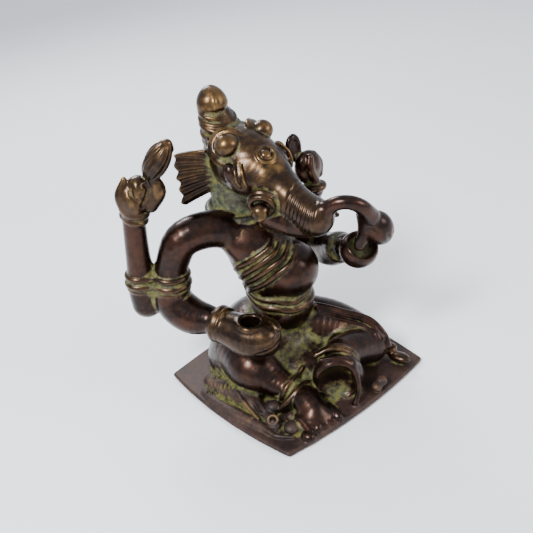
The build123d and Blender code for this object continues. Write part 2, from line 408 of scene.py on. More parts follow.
# --- the plate and what lies on it
def make_plate():
    """A thin square sheet with bowed sides, thicker in the middle than at its edge."""
    bow_radius = (PLATE_HALF ** 2 + PLATE_BOW ** 2) / (2 * PLATE_BOW)
    offset = bow_radius - PLATE_HALF - PLATE_BOW
    low = np.array(PLATE_LOW)
    high = np.array(PLATE_HIGH) + (0, 0, 0.8)

    def distance(x, y, z):
        side = None
        for cx, cy in ((offset, 0), (-offset, 0), (0, offset), (0, -offset)):
            d = np.sqrt((x - cx) ** 2 + (y - cy) ** 2) - bow_radius
            side = d if side is None else soft_max(side, d, 0.5)
        middle = np.clip(1.0 - (x * x + y * y) / (PLATE_HALF * 1.25) ** 2, 0.0, 1.0)
        top = PLATE_TOP - 0.45 + 0.7 * middle
        slab = soft_max(z - top, -z, 0.5)
        return soft_max(side, slab, 0.9)

    Piece("base_plate", "plate_bronze", patina=0.05).add((low, high, distance))
    mouse = Piece("mouse_body", "plate_bronze", trim=True, patina=0.36, rough=0.3, worn=0.35)
    mouse.add(tube([(-19.8, 13.2, 1.6), (-20.4, 7.0, 2.4), (-19.4, 0.5, 2.9), (-19.4, -5.0, 2.6)],
                   [2.0, 3.2, 3.1, 2.3]))
    mouse.add(tube([(-24.0, 10.0, 0.8), (-24.6, 2.0, 0.9), (-23.6, -7.0, 0.9),
                    (-22.4, -16.0, 0.9)], [1.6, 2.0, 2.0, 1.6]), 1.0)
    mouse.add(tube([(-19.4, -5.0, 2.4), (-19.4, -10.5, 2.0), (-20.6, -15.5, 1.6)],
                   [2.3, 1.9, 1.5]), 0.8)
    mouse.add(loop((-18.3, -3.4, 5.3), (-0.45, -0.55, 0.8), 2.1, 0.6), 0.12)
    mouse.add(blob((-18.3, -3.4, 5.0), (1.2, 1.2, 0.8), (25, -25, 0)), 0.1)
    mouse.add(loop((-15.4, -3.8, 5.6), (-0.4, -0.5, 0.8), 1.0, 0.42), 0.1)
    mouse.add(tube([(-20.8, -0.6, 5.4), (-21.9, -5.6, 4.2), (-22.6, -11.0, 3.1)], [0.5, 0.6, 0.5]),
              0.12)
    mouse.add(tube([(-20.0, -6.4, 4.4), (-21.2, -10.4, 3.5)], [0.4, 0.4]), 0.12)
    mouse.add(tube([(-18.9, -7.2, 4.5), (-19.9, -10.4, 4.0)], [0.38, 0.38]), 0.12)
    mouse.add(blob((-17.2, -10.8, 3.6), (2.0, 2.0, 1.6)), 0.2)
    mouse.add(loop((-20.8, -14.8, 3.6), (-0.5, -0.5, 0.75), 1.2, 0.5), 0.12)
    mouse.add(blob((-20.8, -14.8, 3.3), 0.6), 0.08)
    mouse.add(blob((-18.4, -19.4, 2.4), (2.4, 2.3, 1.6)), 0.25)
    mouse.add(blob((-16.4, -16.8, 3.0), (1.5, 1.4, 1.3)), 0.25)
    mouse.add(tube([(-23.4, -14.4, 2.2), (-23.0, -18.4, 2.0), (-20.4, -21.8, 1.8)],
                   [0.55, 0.7, 0.5]), 0.25)
    fur()
    knot = Piece("hem_tassel", "thread_bronze", trim=True, patina=0.25, worn=0.25)
    knot.add(blob((19.6, -18.4, 4.2), (1.9, 1.9, 1.8)))
    knot.add(blob((19.4, -21.8, 3.0), (1.9, 3.3, 1.4), (0, 0, 12)), 0.4)
    for shift in (-0.75, 0.0, 0.75):
        knot.cut(tube([(18.5 + shift, -18.0, 5.4), (20.0 + shift, -20.4, 5.2)], 0.2), 0.15)
    pellets = Piece("offering_pellets", "plate_bronze", trim=True, patina=0.1, worn=0.35)
    pellets.add(blob((8.7, -25.0, 3.1), (1.6, 1.5, 1.4)))
    pellets.add(blob((6.6, -25.2, 2.7), (1.5, 1.6, 1.2)))


def fur():
    """Rows of short nicks across the small animal's back."""
    mouse = next(piece for piece in PIECES if piece.name == "mouse_body")
    lengthwise, crosswise = unit((0.42, -0.9, 0)), unit((0.9, 0.42, 0))

    def nicks(x, y, z):
        s = (x + 20.6) * lengthwise[0] + (y - 6.0) * lengthwise[1]
        t = (x + 20.6) * crosswise[0] + (y - 6.0) * crosswise[1]
        combed = np.clip(np.cos(2 * math.pi * s / 1.35 + 0.4 * t), -0.3, 0.6) + 0.3
        rows = np.exp(-((t - 1.7) / 0.95) ** 2) + np.exp(-((t + 1.7) / 1.05) ** 2)
        ends = np.clip(2.4 - 0.4 * np.abs(s), 0, 1)
        return 0.75 * combed * np.clip(rows, 0, 1) * ends

    mouse.press((np.array((-27.0, -2.0, 0.0)), np.array((-13.0, 15.0, 9.0)), nicks))


# --- the seated body
def make_body():
    seat = Piece("seat_mass", "body_bronze", patina=0.45, rough=0.35)
    seat.add(blob((-2.0, 8.0, 9.0), (15.5, 14.0, 12.5)))
    seat.add(blob((0.0, -4.0, 4.0), (10.5, 10.5, 7.5)), 3.0)
    seat.add(blob((-12.0, 8.0, 5.0), (7.2, 12.5, 8.5)), 3.0)
    seat.keep(above(LIMB_LOW))
    torso = Piece("torso", "body_bronze", patina=0.25)
    torso.add(tube([WAIST, (0.0, 2.6, 27.0), RIBS, (-1.2, 5.0, 37.0), CHEST],
                   [8.4, 7.6, 8.2, 8.8, 8.2]))
    torso.add(blob((-5.5, 6.5, 41.5), (5.5, 5.5, 4.8)), 1.5)
    torso.add(blob((4.0, 6.0, 41.0), (5.8, 5.5, 4.6)), 1.5)
    Piece("belly", "body_bronze", worn=0.1).add(blob((1.9, -1.4, 32.8), (7.9, 7.6, 7.6)))
    neck = Piece("neck", "rough_bronze", patina=0.5, rough=1.0)
    neck.add(tube([NECK_LOW, along(NECK_LOW, NECK_HIGH, 0.5), NECK_HIGH], [7.4, 6.8, 6.9]))


def make_threads():
    """Rolled threads laid on the body: sash, belt and necklace."""
    strands = {
        "sash_thread_1": [[(-6.4, 10.0, 32.4), (-10.0, 5.4, 36.2), (-8.6, 0.7, 39.2),
                           (-5.6, -1.5, 41.1), (-3.1, -1.7, 42.4), (0.4, 1.6, 44.0)],
                          [(-7.0, 8.6, 30.8), (-9.7, 4.2, 34.0), (-9.0, 0.4, 36.9),
                           (-6.4, -2.4, 39.3), (-3.0, -3.2, 40.9), (1.2, -0.4, 42.6)]],
        "sash_thread_2": [[(-6.6, 7.6, 29.0), (-9.2, 3.6, 31.9), (-8.5, -0.4, 34.6),
                           (-6.3, -3.6, 37.4), (-2.4, -4.9, 39.2), (2.2, -2.4, 41.0)]],
        "sash_thread_3": [[(-6.2, 6.8, 27.4), (-8.7, 2.6, 30.1), (-7.6, -1.6, 32.5),
                           (-5.3, -5.0, 35.6), (-1.6, -6.6, 37.8), (3.6, -3.8, 39.6)]],
    }
    for name, lines in strands.items():
        piece = Piece(name, "thread_bronze", trim=True, patina=0.35, worn=0.1)
        for line in lines:
            piece.add(tube(line, [0.55, 0.8, 0.85, 0.85, 0.8, 0.6]), 0.15)
    belt = Piece("waist_belt", "thread_bronze", trim=True, patina=0.4, rough=0.3)
    for lift, size in ((25.0, 1.05), (26.9, 0.8)):
        belt.add(skin_thread((0.5, 1.5, lift), (0.06, -0.16, 1.0), (12, 12, 4), size, 0.0,
                             lambda x, y, z: 0.25 * np.sin(0.5 * x - 0.4 * y)), 0.25)
    collar = Piece("neck_collar", "rough_bronze", trim=True, patina=0.6, rough=0.5)
    collar.add(loop((-1.0, 12.2, 48.4), (0.05, -0.1, 1.0), 8.0, 1.2))
    collar.add(loop((-1.0, 12.0, 46.6), (0.05, -0.1, 1.0), 8.2, 0.9), 0.3)


# --- legs
def make_legs():
    leg = Piece("right_leg", "body_bronze", patina=0.12)
    leg.add(tube([(-9.0, 10.0, 9.0), (-13.0, 2.0, 9.0), RIGHT_KNEE], [8.2, 7.2, 6.2]))
    leg.add(tube([RIGHT_KNEE, (-11.8, -8.0, 6.0), RIGHT_ANKLE], [5.6, 3.9, 3.0]), 1.5)
    leg.keep(above(LIMB_LOW))
    anklet = Piece("right_anklet", "thread_bronze", trim=True, patina=0.35, worn=0.2)
    shin = toward(RIGHT_KNEE, RIGHT_ANKLE)
    anklet.add(skin_thread(along(RIGHT_KNEE, RIGHT_ANKLE, 0.78), shin, 6.0, 0.75, 0.0), 0.15)
    anklet.add(tube([(-16.6, -13.0, 3.4), (-14.6, -14.2, 5.4), (-11.4, -14.8, 7.4),
                     (-7.6, -14.2, 7.0), (-5.9, -13.5, 5.4)], [0.8, 1.05, 1.1, 1.0, 0.7]), 0.15)
    anklet.add(tube([(-15.6, -10.2, 3.8), (-13.8, -11.6, 5.6), (-11.2, -12.4, 7.2),
                     (-8.0, -12.0, 7.0)], [0.6, 0.85, 0.85, 0.6]), 0.15)
    foot = Piece("right_foot", "body_bronze", patina=0.12, worn=0.08)
    foot.add(tube([RIGHT_ANKLE, (-10.8, -17.0, 4.4), (-11.6, -20.5, 3.6)], [3.2, 3.9, 3.4]))
    foot.add(blob((-12.0, -20.8, 2.4), (6.2, 4.8, 3.0), (0, 0, -12)), 1.2)
    for toe in range(5):
        across = toe - 2.0
        start = (-12.0 + 2.0 * across, -21.2 - 0.35 * across, 3.7)
        end = (-12.3 + 2.15 * across, -24.9 - 0.3 * across, 2.4)
        foot.add(tube([start, end], [1.15, 1.05], 3), 0.1)
    foot.add(blob((-17.6, -24.4, 2.0), (1.6, 1.8, 1.2)), 0.2)
    foot.keep(above(FOOT_LOW))

    thigh = Piece("left_thigh", "body_bronze", patina=0.1)
    thigh.add(tube([(5.0, 5.0, 11.5), (11.0, -3.0, 10.8), (14.0, -9.6, 9.4), (15.0, -14.6, 8.0)],
                   [8.4, 7.2, 6.0, 4.9]))
    thigh.keep(above(LIMB_LOW))
    hems = (((5.0, -1.8, 20.0), (9.2, -5.0, 18.4), (12.2, -9.0, 16.8), (15.0, -12.4, 15.4),
             (16.9, -15.4, 13.6), (17.6, -18.6, 10.4), (17.4, -20.0, 7.4)),
            ((6.8, -3.2, 18.6), (9.6, -6.8, 17.2), (12.1, -10.2, 15.9), (14.4, -13.2, 14.8),
             (15.9, -16.0, 13.0), (16.4, -19.0, 10.0)),
            ((7.4, -4.2, 17.6), (9.4, -8.1, 16.0), (11.8, -11.7, 14.8), (13.8, -14.9, 13.6),
             (14.9, -17.6, 11.6)))
    for hem, size in zip(hems, (0.8, 0.6, 0.5)):
        thigh.add(tube(hem, size), 0.15)
    calf = Piece("left_calf", "body_bronze", patina=0.1)
    calf.add(tube([(14.6, -16.0, 6.6), (9.6, -15.6, 9.2), (3.4, -16.2, 11.6)], [4.3, 4.7, 4.1]))
    calf.keep(above(LIMB_LOW))
    anklet = Piece("left_anklet", "thread_bronze", trim=True, patina=0.3, worn=0.35)
    for back, size in ((0.0, 0.75), (1.5, 0.6)):
        anklet.add(tube([(-4.4 + back, -15.2 + 0.3 * back, 14.6),
                         (-0.9 + back, -17.6 + 0.4 * back, 15.8),
                         (2.2 + back, -20.2 + 0.5 * back, 14.0),
                         (3.4 + back, -21.6 + 0.5 * back, 10.4)], size), 0.15)
    foot = Piece("left_foot", "body_bronze", patina=0.12)
    sole = (12, -18, -38)
    foot.add(tube([LEFT_ANKLE, (3.6, -15.8, 9.6)], [3.4, 4.2]))
    foot.add(blob((-0.6, -18.8, 7.4), (6.8, 4.4, 7.6), sole), 1.4)
    foot.cut(blob((-3.5, -21.3, 7.9), (5.5, 2.9, 6.1), sole), 0.35)
    foot.add(tube([(-4.8, -17.6, 14.6), (-2.0, -20.0, 14.4), (0.3, -22.4, 12.2), (0.9, -24.0, 8.6),
                   (0.2, -24.8, 4.8), (-1.4, -25.0, 2.2)], [0.6, 0.8, 0.9, 0.85, 0.75, 0.8]), 0.7)
    foot.add(blob((1.3, -22.0, 11.6), (1.5, 1.4, 1.7)), 0.6)
    foot.add(blob((1.3, -23.2, 8.0), (1.1, 1.2, 1.9)), 0.6)
    foot.keep(above(FOOT_LOW))


# --- head, trunk and crown
def make_head():
    head = Piece("head", "worn_bronze", worn=0.35)
    head.add(tube([OCCIPUT, CROWN_OF_HEAD, BROW], [7.2, 8.2, 6.2]))
    head.add(blob((-5.2, 3.2, 60.4), (3.6, 4.4, 4.2)), 1.5)
    head.add(blob((5.2, 3.2, 60.4), (3.6, 4.4, 4.2)), 1.5)
    for side in (-1, 1):
        for gap, size in ((0.0, 0.42), (1.7, 0.4)):
            head.add(tube([(side * (7.0 - 0.2 * gap), 2.6 - gap, 65.4),
                           (side * (8.3 - 0.45 * gap), 1.3 - gap, 63.6),
                           (side * (8.6 - 0.5 * gap), 0.7 - gap, 61.6),
                           (side * (8.1 - 0.5 * gap), 0.4 - gap, 59.8)], size), 0.12)
    head.press(line_press([(-6.6, 3.0, 66.6), (-3.4, -0.6, 67.0), (0.0, -1.6, 67.2),
                           (3.4, -0.6, 67.0)], 0.6, 0.35))
    mark = Piece("forehead_mark", "worn_bronze", trim=True, worn=0.4)
    mark.add(blob((-0.5, -1.6, 65.9), (1.4, 1.5, 0.9), (38, 0, 0)))
    mark.add(loop((-0.5, -1.6, 65.9), (-0.15, -0.61, 0.78), 2.2, 0.42), 0.08)
    for side, name in ((-1, "right"), (1, "left")):
        eye = Piece(f"{name}_eye", "limb_bronze", trim=True)
        eye.add(blob((side * 8.0, 3.9, 62.7), (1.6, 2.1, 2.5), (0, 0, side * 12)))
    root = Piece("trunk_root", "worn_bronze", worn=0.15)
    root.add(tube([BROW, TRUNK_BEND, TRUNK_END], [5.6, 4.5, 4.7]))
    for crease in range(8):
        middle = np.array(along(TRUNK_BEND, TRUNK_END, 0.1 + 0.15 * crease)) + (-1.6, 0.0, 1.6)
        fan = 0.05 * (crease - 3)
        root.press(plane_press(middle, (0.45 + fan, -0.85, -0.28), 6.6, 0.32, 0.42))
    tip = Piece("trunk_tip", "limb_bronze")
    tip.add(tube(TRUNK_ARCH, [2.0, 1.8, 1.75, 1.9, 2.2]))
    sweet = Piece("sweet_ball", "limb_bronze", worn=0.25)
    sweet.add(blob((14.6, -22.2, 45.6), (3.9, 3.7, 4.9), (0, -25, 0)))
    for shift in (0.0, 2.2, 4.4):
        sweet.press(line_press([(10.6 + shift, -23.4, 48.4 - shift * 0.3),
                                (12.0 + shift, -25.6, 45.6 - shift * 0.3),
                                (13.2 + shift, -25.2, 41.6)], 0.35, 0.4))
    jaw = Piece("lower_jaw", "limb_bronze")
    jaw.add(tube([(-1.0, -2.0, 50.5), (-0.4, -8.0, 49.0), (0.5, -12.0, 47.5)], [4.4, 3.2, 1.4]))
    make_tusks()
    make_ears()
    make_crown()


def make_tusks():
    knob = Piece("right_tusk", "worn_bronze", trim=True, worn=0.5, rough=0.2)
    knob.add(blob((-7.3, -5.0, 54.4), (2.4, 2.3, 2.2)))
    knob.add(blob((-8.1, -5.8, 53.6), 1.4), 0.4)
    collar = Piece("tusk_collar", "thread_bronze", trim=True, patina=0.55, rough=0.4)
    collar.add(loop((-6.0, -4.2, 55.2), (-3.2, -2.2, -1.4), 2.9, 0.9))
    collar.add(loop((-5.1, -3.6, 55.7), (-3.2, -2.2, -1.4), 3.3, 0.7), 0.3)
    tusk = Piece("left_tusk", "limb_bronze", patina=0.1)
    tusk.add(tube([(4.6, -8.5, 52.4), (6.6, -11.5, 50.6), (9.0, -14.0, 49.2)], [2.1, 1.5, 0.7]))


def make_ears():
    for side, name in ((-1, "right"), (1, "left")):
        out = unit((side * 0.65, 0.76, 0.0))
        face = unit(np.cross(out, (0, 0, 1)))
        root = np.array((side * 5.5, 11.5, 60.5))

        def fan(x, y, z, out=out, face=face, root=root):
            u = (x - root[0]) * out[0] + (y - root[1]) * out[1]
            v = z - root[2]
            w = (x - root[0]) * face[0] + (y - root[1]) * face[1]
            upper = v - 5.6 - 0.06 * u
            lower = -v - 4.6 - 0.34 * u
            edge = u - 10.4 - 0.35 * np.cos(1.9 * v)
            outline = soft_max(soft_max(upper, lower, 0.8), edge, 0.8)
            ridges = 0.2 * np.cos(3.3 * v / (0.55 + 0.06 * np.clip(u, 0, 12)))
            return soft_max(outline, np.abs(w + 0.03 * u * u - 0.6) - 0.8 - ridges, 0.5)

        low = root + (min(0, side * 8.5) - 2, -3, -11)
        high = root + (max(0, side * 8.5) + 2, 11, 8)
        ear = Piece(f"{name}_ear", "thread_bronze", trim=True, patina=0.42, worn=0.3)
        ear.add((low, high, fan))


def make_crown():
    band = Piece("crown_band", "thread_bronze", trim=True, patina=0.35, worn=0.2)
    band.add(loop((0.0, 9.5, 66.6), (0.0, -0.35, 1.0), 7.3, 1.0))
    band.add(loop((0.0, 8.8, 65.0), (0.0, -0.35, 1.0), 8.0, 0.8), 0.3)
    for side, name, radius in ((-1, "right", 3.1), (1, "left", 2.75)):
        boss = Piece(f"{name}_crown_boss", "worn_bronze", trim=True, worn=0.5)
        boss.add(blob((side * 5.7, 6.4, 68.4), (radius, radius, radius * 0.95)))
        boss.add(loop((side * 5.1, 7.2, 67.8), (side * 0.62, -0.62, 0.45), radius + 0.45, 0.62),
                 0.2)
        boss.add(loop((side * 4.7, 7.7, 67.4), (side * 0.62, -0.62, 0.45), radius + 1.25, 0.6),
                 0.2)
    rings = Piece("crown_rings", "thread_bronze", trim=True, patina=0.3, worn=0.25)
    rings.add(tube([(0.0, 13.0, 64.0), (-0.3, 14.6, 69.0), (-0.7, 16.0, 73.6)], [5.6, 4.4, 3.1]))
    for lift, size, thread, tilt in ((66.6, 5.5, 1.0, 0.04), (68.6, 5.15, 0.9, -0.05),
                                     (70.5, 4.7, 0.85, 0.09), (72.1, 4.2, 0.8, -0.03),
                                     (73.5, 3.7, 0.7, 0.05)):
        middle = (-0.10 * (lift - 66), 13.9 + 0.32 * (lift - 66.6), lift)
        rings.add(loop(middle, (tilt, -0.28, 1.0), size, thread), 0.12)
    bud = Piece("crown_finial", "worn_bronze", trim=True, worn=0.4)
    bud.add(tube([(-0.8, 16.2, 74.0), (-0.9, 16.5, 75.8), (-0.8, 16.7, 77.6), (-0.7, 16.8, 79.0)],
                 [3.8, 4.0, 2.8, 1.2]))
    bud.add(tube([(-2.6, 12.9, 75.2), (-2.4, 13.3, 77.2), (-1.3, 15.0, 79.5)], [0.5, 0.8, 0.4]),
            0.8)
    bud.press(line_press([(-4.6, 14.8, 74.6), (-2.6, 12.8, 74.3), (0.6, 13.0, 74.4),
                          (2.8, 15.4, 75.0)], 0.6, 0.5))


# --- arms
def make_right_arms():
    arm = Piece("right_upper_arm", "limb_bronze")
    arm.add(tube([RIGHT_SHOULDER, RIGHT_SHOULDER_TOP, RIGHT_BICEP, RIGHT_ARMLET],
                 [5.0, 4.9, 4.7, 4.2]))
    fore = Piece("right_fore_arm", "limb_bronze", worn=0.08)
    fore.add(tube([along(RIGHT_ARMLET, RIGHT_ELBOW, 0.3), RIGHT_ELBOW, (-21.4, 13.6, 24.4),
                   RIGHT_WRIST], [4.5, 5.1, 5.0, 3.9]))
    rear = Piece("right_rear_arm", "limb_bronze", patina=0.1)
    rear.add(tube([(-27.9, 23.6, 27.8), (-28.0, 23.6, 33.0), (-27.8, 22.6, 42.0),
                   RIGHT_REAR_WRIST], [4.1, 3.9, 3.2, 2.9]))
    rings = Piece("right_armlets", "thread_bronze", trim=True, patina=0.6)
    for lift, size in ((34.2, 0.95), (36.5, 0.9), (32.6, 0.5)):
        rings.add(skin_thread((-25.0, 20.5, lift), (0.08, -0.08, 1.0), (9.5, 9.5, 4), size, 0.15),
                  0.25)
    bangle = Piece("right_wrist_bangle", "thread_bronze", trim=True, patina=0.15, worn=0.45)
    wrist = toward(RIGHT_WRIST, RIGHT_FIST)
    bangle.add(loop((-18.0, 5.6, 23.2), wrist, 3.6, 1.5))
    bangle.add(loop((-17.6, 4.3, 23.0), wrist, 4.4, 0.6), 0.3)
    make_right_fist()
    bangles = Piece("right_rear_bangles", "thread_bronze", trim=True, patina=0.2, worn=0.3)
    bangles.add(loop((-26.7, 21.0, 53.4), (0.25, -0.3, 1.0), 2.7, 0.75))
    bangles.add(loop((-26.4, 20.6, 55.4), (0.25, -0.3, 1.0), 2.8, 0.95), 0.25)
    bangles.add(blob((-28.6, 22.4, 54.8), (1.5, 1.5, 1.6)), 0.4)
    make_right_rear_hand()


def make_right_fist():
    fist = Piece("right_fist", "worn_bronze", worn=0.2)
    fist.add(tube([(-17.9, 4.2, 22.8), (-16.4, 0.4, 21.8), (-15.0, -3.2, 21.0),
                   (-13.4, -6.0, 20.9)], [4.3, 5.0, 5.5, 4.9]))
    fist.add(loop((-14.7, -3.6, 25.4), (0.1, -0.1, 1), 3.2, 0.75), 0.6)
    fist.cut(tube([(-14.7, -3.6, 30.0), (-14.7, -3.6, 21.5)], 2.5), 0.4)
    for finger in range(5):
        lift = 23.4 - 1.55 * finger
        fist.press(line_press([(-8.6, -5.6, lift), (-10.6, -9.2, lift - 0.4),
                               (-14.2, -10.8, lift - 1.2), (-18.0, -8.4, lift - 2.4)], 0.3, 0.34))


def make_right_rear_hand():
    hand = Piece("right_rear_hand", "worn_bronze", patina=0.1, worn=0.25)
    hand.add(tube([(-26.8, 20.2, 56.6), (-26.2, 19.2, 59.6), (-25.4, 18.2, 62.0)],
                  [3.0, 3.7, 3.2]))
    hand.add(tube([(-28.9, 20.8, 57.4), (-29.4, 20.6, 61.0), (-28.0, 19.6, 65.0)],
                  [1.7, 1.5, 0.7]), 0.9)
    hand.add(tube([(-23.4, 17.6, 56.6), (-21.7, 15.8, 60.2), (-22.4, 15.8, 64.2)],
                  [1.9, 2.1, 1.6]), 0.9)
    hand.press(line_press([(-28.0, 17.6, 63.4), (-27.8, 17.2, 60.8), (-26.2, 16.2, 58.2)], 0.9,
                          0.9))
    hand.press(line_press([(-25.0, 15.0, 62.8), (-25.2, 15.2, 61.0), (-26.4, 16.2, 59.4)], 0.8,
                          0.9))
    hand.add(tube([(-28.0, 18.2, 57.6), (-26.6, 16.6, 59.6), (-25.6, 15.6, 62.2)],
                  [0.9, 0.85, 0.7]), 0.25)
    bud = Piece("right_rear_bud", "worn_bronze", trim=True, patina=0.3, worn=0.25)
    axis = unit(toward((-23.0, 17.0, 63.8), (-19.0, 12.8, 71.6)))
    side = unit(np.cross(axis, (1, 0, 0)))
    other = np.cross(axis, side)
    middle = np.array((-21.0, 14.4, 68.2))

    def ribbed(x, y, z):
        px, py, pz = x - middle[0], y - middle[1], z - middle[2]
        t = px * axis[0] + py * axis[1] + pz * axis[2]
        a = px * side[0] + py * side[1] + pz * side[2]
        b = px * other[0] + py * other[1] + pz * other[2]
        ribs = 0.16 * np.cos(11.0 * np.arctan2(a, b) + 0.5 * t)
        k0 = np.sqrt((t / 5.6) ** 2 + (a / 3.1) ** 2 + (b / 2.9) ** 2)
        return (k0 - 1.0) * 2.9 - ribs * np.clip(k0, 0, 1)

    bud.add((middle - 6.5, middle + 6.5, ribbed))
    bud.add(tube([(-19.4, 13.2, 71.6), (-18.3, 12.2, 72.4), (-17.8, 11.8, 70.8)], [1.1, 1.0, 0.6]),
            0.7)


def make_left_arms():
    arm = Piece("left_upper_arm", "limb_bronze")
    arm.add(tube([LEFT_SHOULDER, LEFT_BICEP, LEFT_ELBOW], [5.0, 4.5, 4.2]))
    fore = Piece("left_fore_arm", "limb_bronze", patina=0.55, rough=0.3)
    fore.add(tube([LEFT_ELBOW, (17.2, -1.0, 31.4), LEFT_WRIST], [4.3, 4.7, 4.3]))
    bowl = Piece("left_bowl_hand", "limb_bronze", patina=0.5)
    bowl.add(blob(LEFT_BOWL, (5.0, 5.0, 4.7)))
    for lift in (35.6, 37.6, 39.4):
        bowl.press(line_press([(9.4, -19.0, lift), (11.6, -20.8, lift - 0.4),
                               (15.0, -20.6, lift - 0.4)], 0.3, 0.35))
    bowl.add(tube([LEFT_WRIST, (14.2, -11.0, 36.6)], [3.4, 3.6]), 0.8)
    bowl.cut(blob((12.0, -19.2, 41.4), (3.7, 3.9, 3.9)), 0.6)
    thumb = Piece("left_bowl_thumb", "limb_bronze", patina=0.2, worn=0.3)
    thumb.add(tube([(9.6, -22.0, 51.2), (11.0, -20.8, 46.0), (10.8, -19.2, 41.5)],
                   [1.3, 1.5, 1.5]))
    rear = Piece("left_rear_arm", "limb_bronze", patina=0.2)
    rear.add(tube([(16.0, 10.0, 38.0), (19.0, 7.5, 43.0), LEFT_REAR_WRIST], [3.3, 2.7, 2.5]))
    hand = Piece("left_rear_hand", "limb_bronze", patina=0.45, worn=0.1)
    hand.add(blob((17.6, 4.7, 54.2), (4.2, 2.8, 4.6)))
    hand.add(tube([(17.6, 2.6, 51.0), (16.2, 2.4, 54.5), (17.0, 2.8, 57.6)], [1.3, 1.3, 0.9]), 0.5)
    hand.add(tube([(20.6, 4.0, 51.4), (21.2, 4.2, 54.4), (20.0, 4.6, 57.2)], [1.1, 1.1, 0.8]), 0.5)
    bangle = Piece("left_rear_bangle", "thread_bronze", trim=True, worn=0.35, patina=0.1)
    bangle.add(loop((18.0, 3.6, 48.6), (0, 0.1, 1.0), 2.4, 1.1))
    petal = Piece("left_rear_petal", "limb_bronze", trim=True, patina=0.45)
    petal.add(blob((14.9, 6.4, 60.2), (2.6, 1.4, 3.9)))
    petal.cut(blob((14.7, 5.3, 60.4), (1.5, 0.7, 2.5)), 0.3)


# --- putting the pieces together
# (middle, reach, how much) of the places rubbed bright, and of those gone green
WORN_REGIONS = [((0.3, -3.0, 62.5), 6.5, 0.45), ((1.6, -10.5, 55.5), 4.5, 0.35),
                ((-15.6, -6.0, 22.5), 5.5, 0.35), ((-24.0, 16.5, 62.0), 6.0, 0.3),
                ((-10.0, -2.0, 12.5), 6.0, 0.2), ((0.0, 14.0, 77.5), 4.5, 0.3)]
GREEN_REGIONS = [((-3.0, -6.0, 17.5), 9.0, 0.25), ((-25.0, 20.0, 34.5), 5.0, 0.35),
                 ((14.0, -10.0, 37.0), 8.0, 0.4), ((-1.0, 2.0, 25.5), 9.5, 0.3),
                 ((-19.5, 4.0, 4.0), 6.0, 0.25), ((-3.5, -19.0, 3.5), 5.0, 0.45),
                 ((8.0, 4.0, 51.0), 7.0, 0.3), ((-9.0, 14.0, 56.0), 8.0, 0.3),
                 ((-8.0, -20.0, 1.5), 5.5, 0.3)]


FINE_SPACING, FINE_SEED = 0.9, 3         # the two noises that dent the metal
BROAD_SPACING, BROAD_SEED = 2.6, 4
POCKET_REACH, HOLLOW_REACH = 0.9, 2.7    # how far round a sample shelter is looked for
SEAM_WIDTH = 1.2
MOST_NOTE = 1.4
MOST_SHIFT = 0.4                         # how far a vertex may be drawn onto the surface


def lattice(spacing, seed):
    """Smooth seeded noise between -1 and 1 all over the grid."""
    random = np.random.RandomState(seed)
    counts = [int(n * STEP / spacing) + 3 for n in GRID_SHAPE]
    result = random.uniform(-1, 1, counts).astype(np.float32)
    for axis, count in enumerate(GRID_SHAPE):
        place = np.arange(count) * STEP / spacing
        first = place.astype(int)
        share = (place - first).astype(np.float32)
        share = share * share * (3 - 2 * share)
        share = share.reshape([-1 if i == axis else 1 for i in range(3)])
        before, after = (np.take(result, first + n, axis) for n in (0, 1))
        result = before * (1 - share) + after * share
    return result


def blurred(values, reach):
    """The mean of a field over a box that reaches so many samples each way."""
    for axis in range(3):
        pad = [(reach + 1, reach) if i == axis else (0, 0) for i in range(3)]
        total = np.cumsum(np.pad(values, pad, mode="edge"), axis=axis, dtype=np.float64)
        upper = np.take(total, range(2 * reach + 1, total.shape[axis]), axis)
        lower = np.take(total, range(0, total.shape[axis] - 2 * reach - 1), axis)
        values = ((upper - lower) / (2 * reach + 1)).astype(np.float32)
    return values


def gather():
    """The blended distance, each sample's piece, and how much farther the next piece is."""
    nearest = np.full(GRID_SHAPE, FAR, np.float32)
    second = np.full(GRID_SHAPE, FAR, np.float32)
    owner = np.zeros(GRID_SHAPE, np.int16)
    field = np.full(GRID_SHAPE, FAR, np.float32)
    for trim, k in ((False, FLESH_BLEND), (True, TRIM_BLEND)):
        crowd = np.zeros(GRID_SHAPE, np.float32)
        skin = field.copy()
        for number, piece in enumerate(PIECES):
            if piece.trim != trim:
                continue
            cuts, d = piece.field(skin)
            d = np.clip(d, -FAR, FAR)
            crowd[cuts] += np.where(d < FAR, np.exp(-d / k), 0)
            front, behind = nearest[cuts], second[cuts]
            wins = d < front
            second[cuts] = np.where(wins, front, np.minimum(behind, d))
            nearest[cuts] = np.where(wins, d, front)
            owner[cuts][wins] = number
        group = np.where(crowd > 0, -k * np.log(np.maximum(crowd, 1e-20)), FAR)
        field = soft_min(field, group.astype(np.float32), k) if trim else group.astype(np.float32)
    return np.clip(field, -FAR, FAR), owner, second - nearest


def region(middle, reach):
    """One near a ball's middle, falling to nothing at its edge."""
    x, y, z = (axis.reshape([-1 if i == n else 1 for i in range(3)])
               for n, axis in enumerate(AXES))
    away = np.sqrt((x - middle[0]) ** 2 + (y - middle[1]) ** 2 + (z - middle[2]) ** 2)
    return np.clip(1.4 - 1.4 * away / reach, 0, 1)


